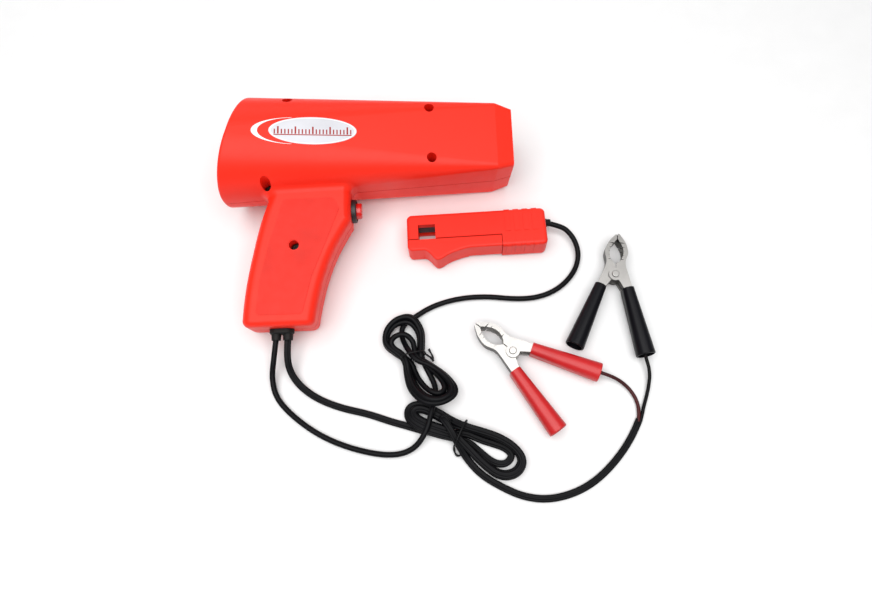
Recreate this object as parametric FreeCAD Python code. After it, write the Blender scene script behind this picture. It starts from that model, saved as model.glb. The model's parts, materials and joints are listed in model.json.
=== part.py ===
"""Timing light kit: strobe gun, inductive pickup, two battery clips and their cords, laid on a table.

Units are millimetres. +Z is up and the kit lies on z = 0. The origin is on the table, under the
middle of the box around the gun and the pickup. Each tool is drawn in a frame of its own and then
placed: the gun with +X to the muzzle, +Y up the barrel and +Z to its right-hand side, the pickup
with +X to its cord, and a clip with +X to its tip and its rivet on Z.
"""
import FreeCAD, Part
import math
import os
from FreeCAD import Placement, Rotation, Vector

# ---- kit layout: every tool's own origin, in kit coordinates before the shift to the middle
KIT_SHIFT = Vector(-109.006, 48.085, 0)
PICKUP_AT = Vector(123.0, -64.7, 0)
CLIP_PLANE_Z = 7.2
BLACK_CLIP_AT = Vector(277.4, -105.8, CLIP_PLANE_Z)
BLACK_CLIP_TURN = 78.6
RED_CLIP_AT = Vector(195.1, -159.7, CLIP_PLANE_Z)
RED_CLIP_TURN = 138.6

# ---- gun
WALL = 2.4
BARREL_REAR_HALF = 39.75
NOSE_X = 192.5
NOSE_HALF = 26.3
NOSE_CORNER = 3.6
MUZZLE_X = 205.0
MUZZLE_HALF = 22.7
MUZZLE_CORNER = 3.2
REAR_SLANT = 15.7
RIM_ROUND = 2.0
GUN_YAW = -0.72
GUN_PITCH = 3.108
GUN_ROLL = 9.196
GUN_AT = Vector(0.74, 0.68, 40.04)
GRIP_HALF = 16.5
GRIP_CORNER = 7.0
GRIP_BOTTOM_Y = -136.0
GRIP_BOTTOM_ROUND = 5.0
GRIP_BLEND = 5.5
GRIP_FRONT_X = 83.6
# grip sections, from the barrel down: height y, rear x, front x; the front is cut flat at GRIP_FRONT_X
GRIP_STATIONS = [
    (-24.0, 31.0, 104.5),
    (-44.0, 24.2, 93.0),
    (-62.0, 18.6, 82.2),
    (-79.0, 14.9, 72.9),
    (-98.0, 11.3, 65.6),
    (-117.0, 8.8, 60.8),
    (GRIP_BOTTOM_Y, 7.7, 57.7),
]
SEAM_WIDTH = 0.6
SEAM_DEPTH = 0.5

SHELL_SCREWS = [(40.4, 29.0), (143.4, 20.3), (144.2, -18.8), (24.6, -33.2), (44.0, -78.1)]
SCREW_WELL_R = 3.6
SCREW_SEAT_Z = 6.0
SCREW_HEAD_R = 3.1
SCREW_HEAD_H = 2.2
SCREW_SHANK_R = 1.45
SCREW_REACH = 12.0
BOSS_R = 5.4

LENS_R = 19.3
APERTURE_R = 17.3
LENS_BACK_X = 197.0
LENS_EDGE = 3.0
LENS_CROWN = 2.4
REFLECTOR_MOUTH_X = 193.6
REFLECTOR_DEPTH = 28.0
REFLECTOR_R = 18.0
REFLECTOR_WALL = 1.0
REFLECTOR_NECK_R = 9.0
TUBE_R = 2.0
TUBE_LEG_Y = 4.6
TUBE_FRONT_X = 183.0
HOLDER_X = 150.5
HOLDER_LENGTH = 11.0
HOLDER_R = 8.6

BOARD_X = (52.0, 136.5)
BOARD_HALF_WIDTH = 22.0
BOARD_Z = -9.0
BOARD_THICK = 1.6

BUTTON_Y = -48.5
BUTTON_R = 6.0
BUTTON_TOP_X = 91.2
BEZEL_R = 8.8
BEZEL_X = (83.7, 87.2)
BUSHING_R = 7.8
BUSHING_BORE_R = 6.3
SWITCH_BACK_X = 63.2
SWITCH_FRONT_X = 80.8

GROMMET_X = 33.0
GROMMET_FLANGE = (8.7, 5.6)
GROMMET_NECK = (6.6, 4.0)
CORD_EXIT_Y = -144.0
PICKUP_EXIT_X = 28.9
POWER_EXIT_X = 37.2
LABEL_X = 60.5
LABEL_HALVES = (30.5, 10.35)

# ---- pickup
PICKUP_LENGTH = 106.0
PICKUP_NORTH = 15.0
PICKUP_SOUTH = -15.5
PICKUP_HEIGHT = 20.0
PICKUP_CORNER = 4.0
PICKUP_ROUND = 2.6
PICKUP_WALL = 0.8
COVER_THICK = 2.4
SEAM_Y = -5.6
BODY_GAP = 0.3
SLIDER_HEAD_X = 46.0
SLIDER_TAIL_X = 71.5
SLIDER_GAP = 0.2
CAVITY_X = (71.8, 103.4)
TOOTH = [(9.0, -14.5), (16.0, -17.0), (22.0, -23.1), (29.0, -20.2), (38.0, -16.6), (48.5, -14.5)]
RIB_START_X = 74.6
RIB_STEP = 7.0
RIB_WIDTH = 4.0
WINDOW_X = (8.5, 21.4)
WINDOW_NORTH = 5.8
CORE_Z = (5.0, 15.0)
CORE_X = (3.0, 32.0)
CORE_LEG = 4.6
CORE_BACK_Y = 11.2
PICKUP_SCREWS = [(43.0, 6.5), (97.0, 8.0)]
RELIEF_Y = 6.6
RELIEF_Z = 9.0
RELIEF_LENGTH = 5.0

# ---- battery clips
PLATE = 1.0
FIXED_HALF_HEIGHT = 5.2
MOVING_HALF_HEIGHT = 3.9
CLIP_CENTRE_GAP = 0.2
JAW_OUTLINE = [(33.6, 1.3), (30.8, 3.5), (27.0, 6.1), (22.5, 7.9), (18.0, 8.6), (11.5, 7.1), (3.0, 8.8),
               (-4.0, 11.2)]
MOUTH = [(29.4, CLIP_CENTRE_GAP), (26.3, 2.4), (22.0, 4.5), (17.5, 5.1), (12.5, 3.7), (8.6, CLIP_CENTRE_GAP)]
EAR_R = 5.0
RIVET_R = 1.5
RIVET_HEAD_R = 2.7
SPRING_HALF_HEIGHT = 2.4
SPRING_THICK = 0.8
SPRING_LEG = [(-1.5, 2.2), (-8.0, 7.4), (-17.0, 10.6)]
HANDLE_TURN = 17.8
HANDLE_HALF = 2.8
HANDLE_START = Vector(-9.5, 10.2, 0)
HANDLE_LENGTH = 47.0
SLEEVE_LENGTH = 51.5

# ---- cords: routes in kit coordinates, heights at the cord's middle
PICKUP_CORD_D = 4.0
POWER_CORD_D = 5.0
LEAD_D = 2.6

# routes of the free cords, from the gun outwards, before the kit is centred
PICKUP_CORD_NEAR = [(24.5, -154, 12.5), (21.5, -166, 5.6), (24, -180, 2.1), (36, -194, 2),
                    (56, -209.5, 2), (80, -220.5, 2), (105, -226.5, 2), (121, -223.5, 5.5),
                    (130.5, -212.5, 10.9), (134.5, -199.5, 11.2)]
PICKUP_CORD_FAR = [(124, -127, 2.1), (138.5, -118.4, 2), (158, -113.6, 2), (179, -113.2, 2),
                   (200, -116.8, 2), (216, -117.2, 2), (230, -113.5, 2), (241.5, -106, 2),
                   (250, -96, 2.2), (253.6, -85.5, 3.3), (252.9, -76.5, 5.2), (249.3, -68.5, 7.2),
                   (242.6, -61.4, 8.6)]
POWER_CORD_NEAR = [(33.5, -153, 12.6), (35, -164, 6.6), (42, -174, 3.1), (54.5, -183.5, 2.5),
                   (71, -190.8, 2.5), (89.5, -196, 2.5), (104.5, -202.2, 2.5), (117, -206.5, 2.5)]
POWER_CORD_FAR = [(169, -241.5, 2.5), (180.5, -252, 2.5), (193.5, -259, 2.5), (208, -262, 2.5),
                  (223, -260.6, 2.5), (237, -256, 2.5), (249.5, -248.5, 2.5), (261.5, -238.2, 2.5),
                  (272, -226.3, 2.5), (280.5, -213, 2.5)]
BLACK_LEAD = [(282, -212.7, 2.5), (286.4, -203, 1.9), (290.6, -191.5, 2.2), (293, -180, 4.8)]
RED_LEAD = [(279.3, -213.4, 2.5), (281.2, -204.5, 1.9), (279.8, -195.8, 1.6), (275, -188.4, 2.2),
            (267, -182.6, 4.8)]

# outlines of the two tied hanks, seen from above
PICKUP_HANK = [(120.5, -123.5), (129, -129), (131.8, -142), (129, -154), (137, -166), (150, -178),
               (154.5, -189), (147, -198), (134, -199), (124, -190), (116.5, -175), (116.5, -160),
               (108, -152.5), (100.5, -144), (103.5, -132), (111, -125)]
PICKUP_HANK_STEP_Y = -186.5
POWER_HANK = [(113, -199), (119, -190), (133, -192), (150, -204), (163, -209.5), (181.5, -217),
              (194.5, -225.5), (200.5, -237), (192.5, -247.5), (179, -249.5), (165.5, -240),
              (152, -222), (136, -216.5), (120, -209.5)]
PICKUP_TIE_AT = (123, -156.5)
PICKUP_TIE_TURN = 10.0
POWER_TIE_AT = (156, -213.5)
POWER_TIE_TURN = -28.0


def box(x, y, z):
    """A box from three (low, high) pairs."""
    return Part.makeBox(x[1] - x[0], y[1] - y[0], z[1] - z[0], Vector(x[0], y[0], z[0]))


def rod(start, direction, radius, length):
    return Part.makeCylinder(radius, length, start, direction)


def along_x(x, y, z, radius, length):
    return rod(Vector(x, y, z), Vector(1, 0, 0), radius, length)


def along_z(x, y, z, radius, length):
    return rod(Vector(x, y, z), Vector(0, 0, 1), radius, length)


def joined(shapes):
    """Fuse a list of shapes into one."""
    return shapes[0].multiFuse(shapes[1:]).removeSplitter()


def group(shapes):
    """Identical loose solids kept as one node."""
    return Part.makeCompound(shapes)


def rounded_rectangle(centre, u, v, half_u, half_v, corner):
    """A closed wire of four lines and four arcs in the plane of u and v."""
    def at(a, b):
        return centre + u * a + v * b

    edges = []
    for turn, (reach, rise) in enumerate([(half_u, half_v), (half_v, half_u)] * 2):
        angle = math.radians(90 * turn)
        cos, sin = math.cos(angle), math.sin(angle)

        def spun(a, b):
            return at(a * cos - b * sin, a * sin + b * cos)

        slant = corner * math.sqrt(0.5)
        low = spun(reach, corner - rise)
        high = spun(reach, rise - corner)
        middle = spun(reach - corner + slant, rise - corner + slant)
        after = spun(reach - corner, rise)
        edges.append(Part.LineSegment(low, high).toShape())
        edges.append(Part.Arc(high, middle, after).toShape())
    return Part.Wire(edges)


def smooth_curve(points):
    curve = Part.BSplineCurve()
    curve.interpolate([Vector(x, y, 0) for x, y in points])
    return curve.toShape()


def prism(edges, z_low, z_high):
    """Extrude a closed outline, drawn at z = 0, between two heights."""
    face = Part.Face(Part.Wire(Part.__sortEdges__(edges)))
    face.translate(Vector(0, 0, z_low))
    return face.extrude(Vector(0, 0, z_high - z_low))


def polygon(points):
    closed = list(points) + [points[0]]
    return [Part.LineSegment(Vector(a[0], a[1], 0), Vector(b[0], b[1], 0)).toShape()
            for a, b in zip(closed, closed[1:])]


# ---------------------------------------------------------------- gun shells

def barrel_section(x, half, corner):
    return rounded_rectangle(Vector(x, 0, 0), Vector(0, 1, 0), Vector(0, 0, 1), half, half, corner)


def barrel_half_at(x):
    """Half the barrel's outer height at x, on its straight taper."""
    return BARREL_REAR_HALF + (NOSE_HALF - BARREL_REAR_HALF) * x / NOSE_X


def barrel_solid(inset):
    """The barrel's taper from round to square and its blunt nose, drawn inset from the outside."""
    start_x = -16.0
    start_half = barrel_half_at(start_x) - inset
    nose_half = NOSE_HALF - inset
    end_x = MUZZLE_X - inset
    end_share = (end_x - NOSE_X) / (MUZZLE_X - NOSE_X)
    end_half = nose_half + (MUZZLE_HALF - NOSE_HALF) * end_share
    start = barrel_section(start_x, start_half, start_half - 0.6)
    nose = barrel_section(NOSE_X, nose_half, NOSE_CORNER - inset * 0.5)
    end = barrel_section(end_x, end_half, MUZZLE_CORNER - inset * 0.5)
    taper = Part.makeLoft([start, nose], True, True)
    tip = Part.makeLoft([nose, end], True, True)
    return joined([taper, tip])


def behind_slant(near, far):
    """The slab between two distances in front of the slanted rear plane."""
    slab = box((near, far), (-120, 120), (-120, 120))
    slab.rotate(Vector(0, 0, 0), Vector(0, 0, 1), -REAR_SLANT)
    return slab


def grip_front_block(inset):
    """A block with the grip's flat front face and that face's rounded edges."""
    half = GRIP_HALF - inset
    block = box((-20, GRIP_FRONT_X - inset), (-150, 0), (-half - 0.5, half + 0.5))
    front = [e for e in block.Edges if e.BoundBox.YLength > 100 and e.BoundBox.XMin > 50]
    return block.makeFillet(GRIP_CORNER - inset * 0.6, front)


def grip_solid(inset):
    """The grip, lofted through its stations, with its bottom edge rounded."""
    wires = []
    for y, rear, front in GRIP_STATIONS:
        centre = Vector((rear + front) / 2, max(y, GRIP_BOTTOM_Y + inset), 0)
        half_x = (front - rear) / 2 - inset
        wires.append(rounded_rectangle(centre, Vector(1, 0, 0), Vector(0, 0, 1), half_x,
                                       GRIP_HALF - inset, GRIP_CORNER - inset * 0.6))
    solid = Part.makeLoft(wires, True, False).common(grip_front_block(inset))
    if inset < 1:
        bottom = [e for e in solid.Edges if e.BoundBox.YMax < GRIP_BOTTOM_Y + inset + 0.01]
        solid = solid.makeFillet(GRIP_BOTTOM_ROUND, bottom)
    return solid


def gun_outside(inset):
    barrel = barrel_solid(inset).common(behind_slant(0, 400))
    return joined([barrel, grip_solid(inset)])


def rim_edges(solid):
    """The edges around the slanted rear face."""
    slope = math.tan(math.radians(REAR_SLANT))
    return [e for e in solid.Edges
            if all(abs(v.X - slope * v.Y) < 0.01 for v in e.Vertexes) and e.BoundBox.XMax < 14
            and abs(e.CenterOfMass.x - slope * e.CenterOfMass.y) < 0.05]


def on_surface(shape, point):
    vertex = Part.Vertex(point)
    return min(face.distToShape(vertex)[0] for face in shape.Faces) < 0.001


def blended_outside():
    """The finished outside: the grip runs into the barrel in a fillet, and the rear rim is rounded."""
    barrel = barrel_solid(0).common(behind_slant(0, 400))
    grip = grip_solid(0)
    outside = joined([barrel, grip])
    junction = []
    for edge in outside.Edges:
        middle = edge.valueAt((edge.FirstParameter + edge.LastParameter) / 2)
        if middle.y < -20 and on_surface(barrel, middle) and on_surface(grip, middle):
            junction.append(edge)
    outside = outside.makeFillet(GRIP_BLEND, junction)
    return outside.makeFillet(RIM_ROUND, rim_edges(outside))


def shell_openings():
    """Everything cut through the shells: muzzle, button, grommet and label seat."""
    muzzle = along_x(LENS_BACK_X - 1, 0, 0, APERTURE_R, 20)
    button = along_x(70, BUTTON_Y, 0, BUSHING_R + 0.1, 30)
    return [muzzle, button, grommet_oval(GROMMET_NECK, 0.1, GRIP_BOTTOM_Y - 8, GRIP_BOTTOM_Y + 6)]


def lens_seat():
    """The ring inside the nose that the lens and its retainer sit in."""
    ring = along_x(LENS_BACK_X - 4.0, 0, 0, LENS_R + 1.8, MUZZLE_X - WALL - LENS_BACK_X + 4.0)
    return ring.cut(along_x(LENS_BACK_X - 5, 0, 0, LENS_R + 0.1, 30))


def gun_shells():
    """Right and left shells, split on the seam, with screw wells, bosses and a lens seat."""
    outside = blended_outside()
    hollow = joined([barrel_solid(WALL), grip_solid(WALL)])
    seam = outside.cut(gun_outside(SEAM_DEPTH))
    seam = seam.common(box((-60, 260), (-160, 60), (-SEAM_WIDTH / 2, SEAM_WIDTH / 2)))
    skin = outside.cut(hollow).cut(seam)
    skin = joined([skin, lens_seat()])
    for opening in shell_openings():
        skin = skin.cut(opening)
    right = skin.common(box((-60, 260), (-160, 60), (0, 60)))
    left = skin.common(box((-60, 260), (-160, 60), (-60, 0)))
    for x, y in SHELL_SCREWS:
        right = joined([right, outside.common(along_z(x, y, 0, BOSS_R, 60))])
        right = right.cut(along_z(x, y, SCREW_SEAT_Z, SCREW_WELL_R, 60))
        right = right.cut(along_z(x, y, -1, SCREW_SHANK_R + 0.15, 20))
        left = joined([left, outside.common(along_z(x, y, -60, BOSS_R - 0.8, 60))])
        left = left.cut(along_z(x, y, -SCREW_REACH - 1, SCREW_SHANK_R + 0.02, SCREW_REACH + 2))
    return right, left


def rear_cover():
    """Closing plate inside the rear rim, with a shallow dished middle."""
    plate = barrel_solid(WALL + 0.1).common(behind_slant(1.4, 4.4))
    dish = rod(Vector(0, 0, 0), Vector(1, 0, 0), 30, 2.4)
    dish.rotate(Vector(0, 0, 0), Vector(0, 0, 1), -REAR_SLANT)
    return plate.cut(dish)


def shell_screws():
    screws = []
    for x, y in SHELL_SCREWS:
        head = along_z(x, y, SCREW_SEAT_Z, SCREW_HEAD_R, SCREW_HEAD_H)
        head = head.makeFillet(0.7, [e for e in head.Edges if e.BoundBox.ZMin > SCREW_SEAT_Z + 1])
        shank = along_z(x, y, -SCREW_REACH, SCREW_SHANK_R, SCREW_REACH + SCREW_SEAT_Z)
        slot_z = (SCREW_SEAT_Z + 1.0, SCREW_SEAT_Z + 4)
        slots = [box((x - 1.9, x + 1.9), (y - 0.4, y + 0.4), slot_z),
                 box((x - 0.4, x + 0.4), (y - 1.9, y + 1.9), slot_z)]
        screws.append(joined([head, shank]).cut(slots[0]).cut(slots[1]))
    return group(screws)


# ---------------------------------------------------------------- optics

def lens():
    """A round lens with a flat back and a crowned front."""
    edge = along_x(LENS_BACK_X, 0, 0, LENS_R, LENS_EDGE)
    aperture = APERTURE_R - 0.4
    sphere_r = (aperture ** 2 + LENS_CROWN ** 2) / (2 * LENS_CROWN)
    front_x = LENS_BACK_X + LENS_EDGE
    ball = Part.makeSphere(sphere_r, Vector(front_x + LENS_CROWN - sphere_r, 0, 0))
    crown = ball.common(along_x(front_x, 0, 0, aperture, LENS_CROWN + 1))
    return joined([edge, crown])


def lens_ring():
    """Snap ring that keeps the lens against the nose wall."""
    ring = along_x(LENS_BACK_X - 3.0, 0, 0, LENS_R, 3.0)
    return ring.cut(along_x(LENS_BACK_X - 4, 0, 0, LENS_R - 1.6, 6))


def bowl_profile(offset):
    """Half of the reflector's parabola, from its neck to its mouth, moved out by offset."""
    points = []
    for step in range(7):
        share = step / 6.0
        radius = REFLECTOR_NECK_R + (REFLECTOR_R - REFLECTOR_NECK_R) * share
        depth = (radius ** 2 - REFLECTOR_NECK_R ** 2) / (REFLECTOR_R ** 2 - REFLECTOR_NECK_R ** 2)
        x = REFLECTOR_MOUTH_X - REFLECTOR_DEPTH * (1 - depth)
        points.append((x, radius + offset))
    return points


def reflector():
    """Parabolic bowl with a short neck for the lamp holder."""
    inner = bowl_profile(0)
    outer = bowl_profile(REFLECTOR_WALL)
    neck_x = inner[0][0] - 5.0
    edges = [smooth_curve(inner), smooth_curve(outer)]
    rim = [(inner[-1], outer[-1]), (inner[0], (neck_x, REFLECTOR_NECK_R)),
           ((neck_x, REFLECTOR_NECK_R), (neck_x, REFLECTOR_NECK_R + REFLECTOR_WALL)),
           ((neck_x, REFLECTOR_NECK_R + REFLECTOR_WALL), outer[0])]
    for a, b in rim:
        edges.append(Part.LineSegment(Vector(a[0], a[1], 0), Vector(b[0], b[1], 0)).toShape())
    face = Part.Face(Part.Wire(Part.__sortEdges__(edges)))
    return face.revolve(Vector(0, 0, 0), Vector(1, 0, 0), 360)


def flash_tube():
    """U-shaped xenon tube: two legs joined by a half turn."""
    legs = [along_x(HOLDER_X + 4, side * TUBE_LEG_Y, 0, TUBE_R, TUBE_FRONT_X - HOLDER_X - 4)
            for side in (-1, 1)]
    bend = Part.makeTorus(TUBE_LEG_Y, TUBE_R, Vector(TUBE_FRONT_X, 0, 0), Vector(0, 0, 1))
    bend = bend.common(box((TUBE_FRONT_X, TUBE_FRONT_X + 20), (-20, 20), (-20, 20)))
    return joined(legs + [bend])


def tube_holder():
    """Round plug in the reflector's neck that the lamp's legs stand in, on a square base."""
    plug = along_x(HOLDER_X + 4, 0, 0, HOLDER_R, HOLDER_LENGTH)
    base = box((HOLDER_X, HOLDER_X + 6), (-11, 11), (-11, 11))
    body = joined([plug, base])
    for side in (-1, 1):
        body = body.cut(along_x(HOLDER_X + 4, side * TUBE_LEG_Y, 0, TUBE_R + 0.05, 30))
    return body


# ---------------------------------------------------------------- electronics

def board_top():
    return BOARD_Z + BOARD_THICK


def circuit_board():
    board = box(BOARD_X, (-BOARD_HALF_WIDTH, BOARD_HALF_WIDTH), (BOARD_Z, board_top()))
    for x in (BOARD_X[0] + 4, BOARD_X[1] - 4):
        for y in (4 - BOARD_HALF_WIDTH, BOARD_HALF_WIDTH - 4):
            board = board.cut(along_z(x, y, BOARD_Z - 1, 1.6, 4))
    return board


def board_posts():
    """Four posts that stand on the left shell's board screws and hold the board's corners."""
    posts = []
    for x in (BOARD_X[0] + 4, BOARD_X[1] - 4):
        for y in (4 - BOARD_HALF_WIDTH, BOARD_HALF_WIDTH - 4):
            posts.append(joined([along_z(x, y, BOARD_Z - 8, 3.0, 8),
                                 along_z(x, y, BOARD_Z - 1, 1.5, 3.4)]))
    return group(posts)


def inverter_transformer():
    """Ferrite E cores around a wound bobbin."""
    z = board_top()
    core = box((62, 86), (-18, 2), (z, z + 20))
    for y_pair in ((-14, -11), (-5, -2)):
        core = core.cut(box((61, 87), y_pair, (z + 4, z + 16)))
    bobbin = box((66, 82), (-20, 4), (z + 1, z + 19))
    return joined([core, bobbin.makeFillet(2.0, bobbin.Edges)])


def storage_capacitor():
    """Can lying on the board, with a rolled groove near one end."""
    z = board_top() + 8.2
    can = along_x(92, 10, z, 8.0, 32)
    can = can.makeFillet(1.0, [e for e in can.Edges if e.BoundBox.XLength < 0.1])
    groove = along_x(96, 10, z, 9.0, 1.4).cut(along_x(95, 10, z, 7.4, 4))
    return can.cut(groove)


def trigger_coil():
    z = board_top()
    drum = along_z(130, -9, z, 5.0, 11)
    cheeks = [along_z(130, -9, z, 6.4, 1.2), along_z(130, -9, z + 9.8, 6.4, 1.2)]
    return joined([drum] + cheeks)


def power_transistor():
    """Flat power package bolted to a folded heat sink."""
    z = board_top()
    sink = joined([box((92, 112), (-19, -17.5), (z, z + 18)), box((92, 93.5), (-19, -9), (z, z + 18))])
    package = box((98, 108), (-17.5, -13), (z + 4, z + 19))
    return joined([sink, package])


def board_components():
    """Resistors and small capacitors standing on the board."""
    z = board_top()
    pieces = [along_x(58, 8 + 4 * n, z + 1.4, 1.3, 8) for n in range(3)]
    pieces += [along_z(72 + 9 * n, 13, z, 2.5, 9) for n in range(2)]
    pieces += [along_x(116, -16 + 4 * n, z + 1.4, 1.3, 7) for n in range(2)]
    return group(pieces)


# ---------------------------------------------------------------- switch

def switch_body():
    """Push switch behind the grip's front wall, with a bushing through it."""
    case = box((SWITCH_BACK_X, SWITCH_FRONT_X), (BUTTON_Y - 9, BUTTON_Y + 9), (-9, 9))
    case = case.makeFillet(1.0, case.Edges)
    bushing = along_x(SWITCH_FRONT_X - 2, BUTTON_Y, 0, BUSHING_R, BEZEL_X[1] - SWITCH_FRONT_X + 1.4)
    terminals = [box((SWITCH_BACK_X - 6, SWITCH_BACK_X + 1), (y - 2, y + 2), (-0.4, 0.4))
                 for y in (BUTTON_Y - 5, BUTTON_Y + 5)]
    bore = along_x(SWITCH_BACK_X + 2, BUTTON_Y, 0, BUSHING_BORE_R, 40)
    return joined([case, bushing] + terminals).cut(bore)


def switch_bezel():
    """Round nut that clamps the bushing to the grip."""
    ring = along_x(BEZEL_X[0], BUTTON_Y, 0, BEZEL_R, BEZEL_X[1] - BEZEL_X[0])
    front = [e for e in ring.Edges if e.BoundBox.XMin > BEZEL_X[1] - 0.1]
    ring = ring.makeFillet(1.0, front)
    return ring.cut(along_x(BEZEL_X[0] - 1, BUTTON_Y, 0, BUSHING_R + 0.05, 8))


def button_cap():
    """Red cap with a rounded top and a spring stem."""
    back_x = SWITCH_FRONT_X - 4
    cap = along_x(back_x, BUTTON_Y, 0, BUTTON_R, BUTTON_TOP_X - back_x)
    cap = cap.makeFillet(1.4, [e for e in cap.Edges if e.BoundBox.XMin > BUTTON_TOP_X - 0.1])
    stem = along_x(back_x - 5, BUTTON_Y, 0, 2.0, 6)
    return joined([cap, stem])


def coil_spring(start, direction, radius, wire_r, turns, pitch):
    """Compression spring as a swept helix."""
    helix = Part.makeHelix(pitch, pitch * turns, radius)
    ring = Part.Wire(Part.makeCircle(wire_r, Vector(radius, 0, 0), Vector(0, 1, 0)))
    spring = helix.makePipeShell([ring], True, True)
    spring.Placement = Placement(start, Rotation(Vector(0, 0, 1), direction))
    return spring


def button_spring():
    start = Vector(SWITCH_BACK_X + 2.8, BUTTON_Y, 0)
    return coil_spring(start, Vector(1, 0, 0), 3.6, 0.4, 5, 1.9)


# ---------------------------------------------------------------- grommet, clamp, trims

def grommet_oval(halves, gap, y_low, y_high):
    """A rounded-end slot standing along Y, at the grommet's place."""
    half_x, half_z = halves[0] + gap, halves[1] + gap
    wire = rounded_rectangle(Vector(GROMMET_X, y_low, 0), Vector(1, 0, 0), Vector(0, 0, 1),
                             half_x, half_z, half_z - 0.05)
    return Part.Face(wire).extrude(Vector(0, y_high - y_low, 0))


def cable_grommet():
    """Oval rubber bush in the grip's heel, with a short nozzle for each cord."""
    flange = grommet_oval(GROMMET_FLANGE, 0, GRIP_BOTTOM_Y - 3.6, GRIP_BOTTOM_Y - 0.05)
    low = [e for e in flange.Edges if e.BoundBox.YMax < GRIP_BOTTOM_Y - 3.5]
    flange = flange.makeFillet(1.2, low)
    neck = grommet_oval(GROMMET_NECK, 0, GRIP_BOTTOM_Y - 1, GRIP_BOTTOM_Y + 5)
    nozzles = []
    for x, reach in ((PICKUP_EXIT_X, 3.2), (POWER_EXIT_X, 3.4)):
        nozzles.append(Part.makeCone(reach, reach + 0.5, GRIP_BOTTOM_Y - CORD_EXIT_Y,
                                     Vector(x, CORD_EXIT_Y, 0), Vector(0, 1, 0)))
    return joined([flange, neck] + nozzles)


def cord_clamp():
    """Bar inside the grip that pinches both cords."""
    bar = box((17, 47), (-124, -116), (2.6, 6.6))
    for x in (20.5, 43.5):
        bar = bar.cut(along_z(x, -120, 0, 1.6, 10))
    return bar.makeFillet(0.8, [e for e in bar.Edges if e.Length > 25])


def clamp_posts():
    """Two posts on the left shell's wall under the clamp bar."""
    return group([along_z(x, -120, WALL - GRIP_HALF + 0.05, 3.0, GRIP_HALF - WALL + 2.5)
                  for x in (20.5, 43.5)])


def clamp_screws():
    screws = []
    for x in (20.5, 43.5):
        head = along_z(x, -120, 6.65, 2.6, 1.8)
        shank = along_z(x, -120, 2.6, 1.4, 4.2)
        screws.append(joined([head, shank]))
    return group(screws)


def label_plate():
    """Thin oval plate bonded to the barrel's right side, bent to its surface."""
    plan = Part.Ellipse(Vector(LABEL_X, 0, 0), LABEL_HALVES[0], LABEL_HALVES[1])
    oval = Part.Face(Part.Wire(plan.toShape())).extrude(Vector(0, 0, 60))
    skin = barrel_solid(-0.35).cut(barrel_solid(0))
    return skin.common(oval).common(box((0, 200), (-40, 40), (0, 60)))


def grip_panel(side):
    """Textured inlay on one face of the grip."""
    outline = [(36, -44), (72, -43), (76, -51.5), (66.5, -76), (56.5, -101), (50, -128),
               (18, -128), (21, -101), (26, -79)]
    plate = prism(polygon(outline), GRIP_HALF + 0.02, GRIP_HALF + 0.4)
    upright = [e for e in plate.Edges if e.BoundBox.ZLength > 0.3]
    plate = plate.makeFillet(3.0, upright)
    plate = plate.cut(along_z(SHELL_SCREWS[-1][0], SHELL_SCREWS[-1][1], 0, SCREW_WELL_R + 0.6, 40))
    if side < 0:
        plate = plate.mirror(Vector(0, 0, 0), Vector(0, 0, 1))
    return plate


# ---------------------------------------------------------------- pickup

def plain_bar(south, z_low, z_high):
    """A bar as long as the pickup with its four standing corners rounded."""
    bar = box((0, PICKUP_LENGTH), (south, PICKUP_NORTH), (z_low, z_high))
    return bar.makeFillet(PICKUP_CORNER, [e for e in bar.Edges if e.BoundBox.ZLength > 10])


def rounded_level_edges(solid, radius):
    return solid.makeFillet(radius, [e for e in solid.Edges if e.BoundBox.ZLength < 0.01])


def pickup_envelope():
    """The outside of the housing and its cover together."""
    return rounded_level_edges(plain_bar(PICKUP_SOUTH, 0, PICKUP_HEIGHT), PICKUP_ROUND)


def slider_envelope():
    """The slider's outside: a bar inset from the housing, with a finger tooth on its south side."""
    south = PICKUP_SOUTH + PICKUP_WALL + SLIDER_GAP
    top = PICKUP_HEIGHT - PICKUP_WALL - SLIDER_GAP
    base = [(TOOTH[-1][0], south + 4), (TOOTH[0][0], south + 4)]
    sides = [(TOOTH[-1], base[0]), (base[0], base[1]), (base[1], TOOTH[0])]
    edges = [smooth_curve(TOOTH)]
    for a, b in sides:
        edges.append(Part.LineSegment(Vector(a[0], a[1], 0), Vector(b[0], b[1], 0)).toShape())
    solid = joined([plain_bar(south, BODY_GAP, top), prism(edges, BODY_GAP, top)])
    return rounded_level_edges(solid, PICKUP_ROUND - PICKUP_WALL - SLIDER_GAP)


def slider_room(gap):
    """The notch in the housing that the slider's head and tail lie in."""
    return box((-5, CAVITY_X[0] + gap), (-40, SEAM_Y + gap), (-5, PICKUP_HEIGHT + 5))


def pickup_cavity():
    """The tunnel behind the notch that the slider's tail runs back into."""
    y_low = PICKUP_SOUTH + PICKUP_WALL
    z_high = PICKUP_HEIGHT - PICKUP_WALL
    room = box(CAVITY_X, (y_low, SEAM_Y), (COVER_THICK, z_high))
    corner = [e for e in room.Edges if e.BoundBox.XLength > 5 and e.BoundBox.YMax < SEAM_Y - 1
              and e.BoundBox.ZMin > z_high - 1]
    return room.makeFillet(PICKUP_ROUND - PICKUP_WALL, corner)


def window():
    return box(WINDOW_X, (SEAM_Y - 1, WINDOW_NORTH), (-5, PICKUP_HEIGHT + 5))


def core_c():
    """U-shaped ferrite around the window, open to the slider."""
    block = box(CORE_X, (SEAM_Y, CORE_BACK_Y), CORE_Z)
    inner = box((CORE_X[0] + CORE_LEG, CORE_X[1] - CORE_LEG), (SEAM_Y - 1, CORE_BACK_Y - CORE_LEG),
                (0, PICKUP_HEIGHT))
    return block.cut(inner)


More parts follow.
